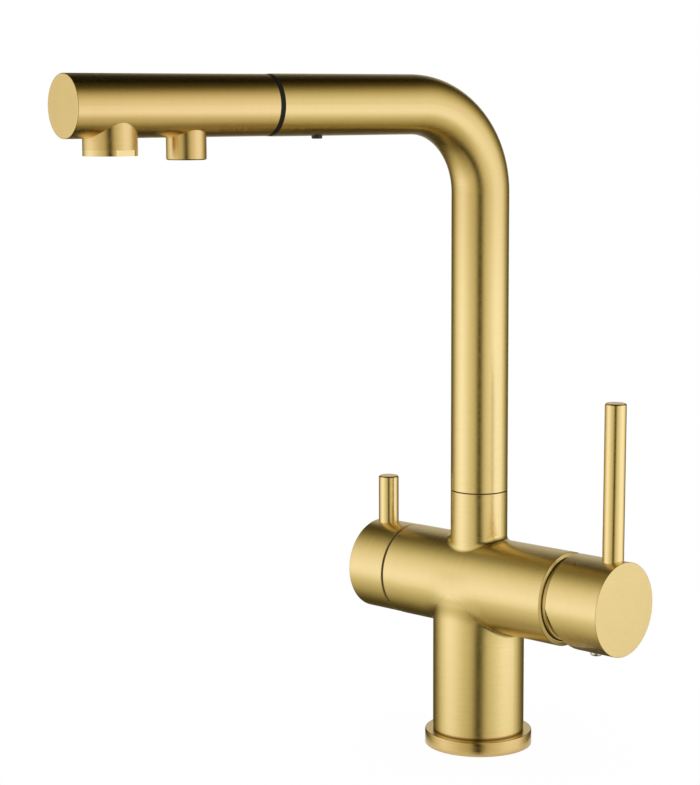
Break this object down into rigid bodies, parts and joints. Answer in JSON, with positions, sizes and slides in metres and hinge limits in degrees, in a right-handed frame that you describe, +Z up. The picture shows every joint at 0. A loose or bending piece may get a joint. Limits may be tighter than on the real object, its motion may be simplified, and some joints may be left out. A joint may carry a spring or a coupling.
{
  "type": "three way filtered water tap",
  "caption": "Deck mounted kitchen tap with a cross barrel, a mixer lever and a filtered water lever at its ends, and a bent swivel spout with a pull-out head of two outlets.",
  "frame": {"origin": "centre of the base's underside, at the mouth of the shank's socket, on the worktop", "axes": "+Z up the column; the user stands on -Y; +X along the barrel to the mixer handle, -X to the filtered water handle; the spout rests swivelled 11.2 degrees from -Y towards -X"},
  "size_m": [0.1582, 0.253, 0.3348],
  "materials": {
    "brushed_brass": "satin",
    "raw_brass": "machined",
    "black_plastic": "moulded",
    "white_plastic": "moulded",
    "grey_plastic": "moulded",
    "ceramic": "polished",
    "black_rubber": "moulded",
    "steel": "machined",
    "chrome": "bright",
    "red_enamel": "gloss",
    "blue_enamel": "gloss"
  },
  "bodies": {
    "tap_body": {"base_ring": "brushed_brass", "base_gasket": "black_rubber", "body": "brushed_brass", "cartridge_base": "white_plastic", "cartridge_seals": "black_rubber", "cartridge_housing": "white_plastic", "fixed_disc": "ceramic", "cartridge_nut": "raw_brass", "cartridge_cover": "brushed_brass", "filter_headwork": "raw_brass", "filter_seat_seal": "black_rubber", "filter_fixed_disc": "ceramic", "filter_glide_ring": "black_plastic", "upper_bush": "black_plastic", "lower_bush": "black_plastic"},
    "mixer_carrier": {"stem_carrier": "grey_plastic", "stem_pin": "steel"},
    "mixer_handle": {"mixer_stem": "steel", "mixer_knob": "brushed_brass", "mixer_lever": "brushed_brass", "mixer_grub_screw": "steel", "mixer_screw_plug": "chrome", "hot_dot": "red_enamel", "cold_dot": "blue_enamel"},
    "mixer_disc": {"moving_disc": "ceramic", "disc_slider": "grey_plastic"},
    "filter_handle": {"filter_turn_disc": "ceramic", "filter_spindle": "raw_brass", "spindle_o_ring": "black_rubber", "spindle_clip": "steel", "filter_knob": "brushed_brass", "filter_lever": "brushed_brass", "filter_grub_screw": "steel"},
    "spout_arm": {"spout": "brushed_brass", "swivel_sleeve": "raw_brass", "sleeve_o_rings": "black_rubber", "swivel_clip": "steel", "dock_bush": "black_plastic", "snap_spring": "steel"},
    "snap_catch": {"snap_button": "black_plastic"},
    "pull_out_head": {"spray_head": "brushed_brass", "head_nipple": "raw_brass", "nipple_o_rings": "black_rubber", "head_waterway": "white_plastic", "mixed_check_valve": "white_plastic", "filtered_check_valve": "white_plastic", "main_aerator_ring": "brushed_brass", "main_aerator_insert": "grey_plastic", "main_aerator_washer": "black_rubber", "filter_aerator_insert": "grey_plastic", "filter_aerator_washer": "black_rubber"}
  },
  "joints": [
    {"name": "spout_swivel", "type": "hinge", "parent": "tap_body", "child": "spout_arm", "pos_m": [0, 0, 0.13], "axis": [0, 0, 1], "range_deg": [-168.8, 191.2]},
    {"name": "head_pull_out", "type": "slide", "parent": "spout_arm", "child": "pull_out_head", "axis": [-0.1942, -0.981, 0], "range_m": [0, 0.4]},
    {"name": "snap_press", "type": "slide", "parent": "spout_arm", "child": "snap_catch", "axis": [0, 0, 1], "range_m": [0, 0.0012], "stiffness_N_per_m": 1200, "springref_m": -0.0004, "deforming": ["snap_spring"]},
    {"name": "mixer_turn", "type": "hinge", "parent": "tap_body", "child": "mixer_carrier", "pos_m": [0.042, 0, 0.0829], "axis": [1, 0, 0], "range_deg": [-50, 50]},
    {"name": "mixer_tilt", "type": "hinge", "parent": "mixer_carrier", "child": "mixer_handle", "pos_m": [0.042, 0, 0.0829], "axis": [0, 1, 0], "range_deg": [0, 22]},
    {"name": "disc_slide", "type": "slide", "parent": "mixer_carrier", "child": "mixer_disc", "axis": [0, 0, 1], "range_m": [0, 0.0044]},
    {"name": "filter_turn", "type": "hinge", "parent": "tap_body", "child": "filter_handle", "pos_m": [-0.0612, 0, 0.0829], "axis": [1, 0, 0], "range_deg": [0, 90]}
  ],
  "couplings": [
    {"joint": "disc_slide", "follows": "mixer_tilt", "m_per_rad": 0.011122}
  ]
}
